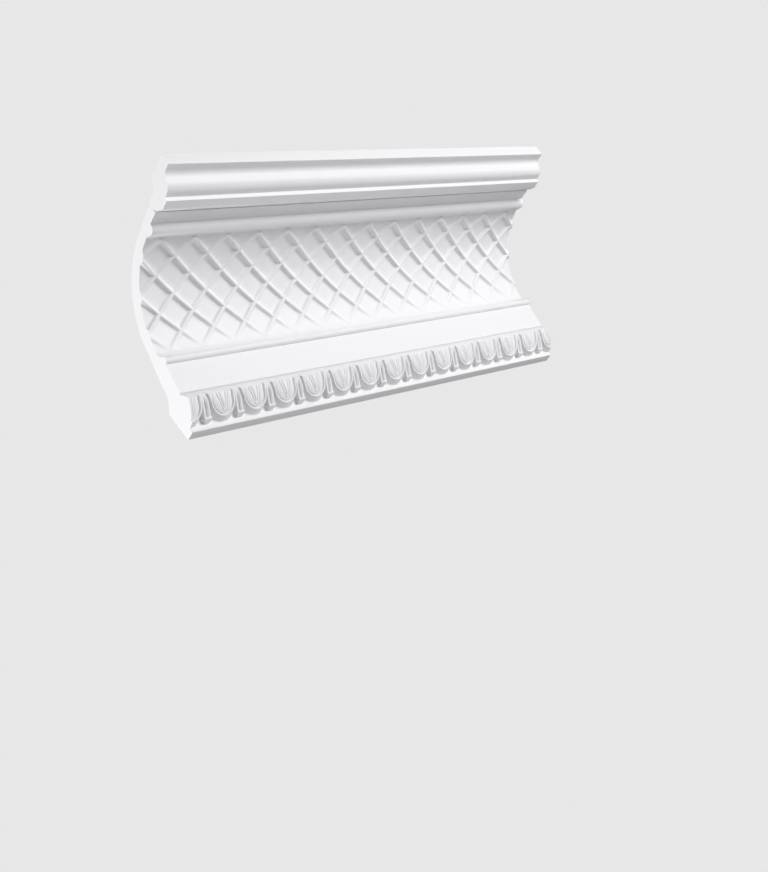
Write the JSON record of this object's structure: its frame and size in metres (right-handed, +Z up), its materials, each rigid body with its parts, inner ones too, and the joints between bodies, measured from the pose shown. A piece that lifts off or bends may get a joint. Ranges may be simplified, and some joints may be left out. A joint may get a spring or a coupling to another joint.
{
  "type": "cornice moulding length",
  "caption": "Straight cornice moulding length with a lattice-carved cove, stepped and ogee upper members, a plain fascia and an egg and dart band at the foot, cut square at both ends.",
  "frame": {"origin": "middle of the flat that bears on the wall, at mid length", "axes": "+X along the length, +Y into the wall, +Z up towards the ceiling"},
  "size_m": [0.455, 0.15, 0.14],
  "materials": {
    "primed_polyurethane": "matt white factory primer"
  },
  "bodies": {
    "root": {"cornice": "primed_polyurethane"}
  },
  "joints": []
}
